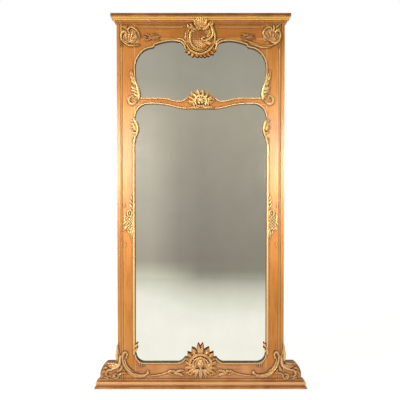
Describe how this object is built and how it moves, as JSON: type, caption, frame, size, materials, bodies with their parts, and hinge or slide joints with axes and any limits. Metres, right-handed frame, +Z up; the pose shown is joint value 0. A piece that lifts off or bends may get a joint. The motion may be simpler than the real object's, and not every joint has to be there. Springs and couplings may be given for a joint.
{
  "type": "trumeau mirror",
  "caption": "Tall pier mirror: a small arched plate over a long one, in a carved and gilded wooden frame with a cornice, on a moulded foot with scroll shoulders.",
  "frame": {"origin": "middle of the foot's rectangle on the floor", "axes": "+Z up, -Y out of the mirror's face towards the viewer, +X to the viewer's right"},
  "size_m": [1.366, 0.116, 2.387],
  "materials": {
    "stained_wood": "waxed, stained",
    "gilt_wood": "bronze-gilt over gesso, rubbed",
    "plain_wood": "sawn softwood",
    "silvered_glass": "polished",
    "steel": "dull"
  },
  "bodies": {
    "root": {"arch_spandrel_left": "stained_wood", "arch_spandrel_right": "stained_wood", "base_mask": "gilt_wood", "base_scroll_left": "gilt_wood", "base_scroll_right": "gilt_wood", "base_shell": "gilt_wood", "base_spray_left": "gilt_wood", "base_spray_right": "gilt_wood", "bottom_lip_left": "gilt_wood", "bottom_lip_right": "gilt_wood", "bottom_rail": "stained_wood", "corner_cartouche_left": "gilt_wood", "corner_cartouche_right": "gilt_wood", "cornice_front": "stained_wood", "cornice_return_left": "stained_wood", "cornice_return_right": "stained_wood", "crest_cartouche": "gilt_wood", "cross_batten": "plain_wood", "frieze_bead": "gilt_wood", "frieze_rail": "stained_wood", "frieze_spray_left": "gilt_wood", "frieze_spray_right": "gilt_wood", "ground_board": "stained_wood", "hanger_plates": "steel", "lower_backboard": "plain_wood", "lower_mirror": "silvered_glass", "lower_spandrel_left": "stained_wood", "lower_spandrel_right": "stained_wood", "lower_top_lip_left": "gilt_wood", "lower_top_lip_right": "gilt_wood", "middle_lip": "gilt_wood", "middle_rail": "stained_wood", "middle_shell": "gilt_wood", "mirror_blocks": "plain_wood", "plinth_front": "stained_wood", "plinth_return_left": "stained_wood", "plinth_return_right": "stained_wood", "shoulder_leaf_left": "gilt_wood", "shoulder_leaf_right": "gilt_wood", "shoulder_left": "stained_wood", "shoulder_right": "stained_wood", "side_lip_left": "gilt_wood", "side_lip_right": "gilt_wood", "side_scroll_left": "gilt_wood", "side_scroll_right": "gilt_wood", "stile_left": "stained_wood", "stile_right": "stained_wood", "top_board": "stained_wood", "trellis_left": "gilt_wood", "trellis_right": "gilt_wood", "upper_backboard": "plain_wood", "upper_garland_left": "gilt_wood", "upper_garland_right": "gilt_wood", "upper_lip_left": "gilt_wood", "upper_lip_right": "gilt_wood", "upper_mirror": "silvered_glass", "upper_slip_left": "stained_wood", "upper_slip_right": "stained_wood"}
  },
  "joints": []
}
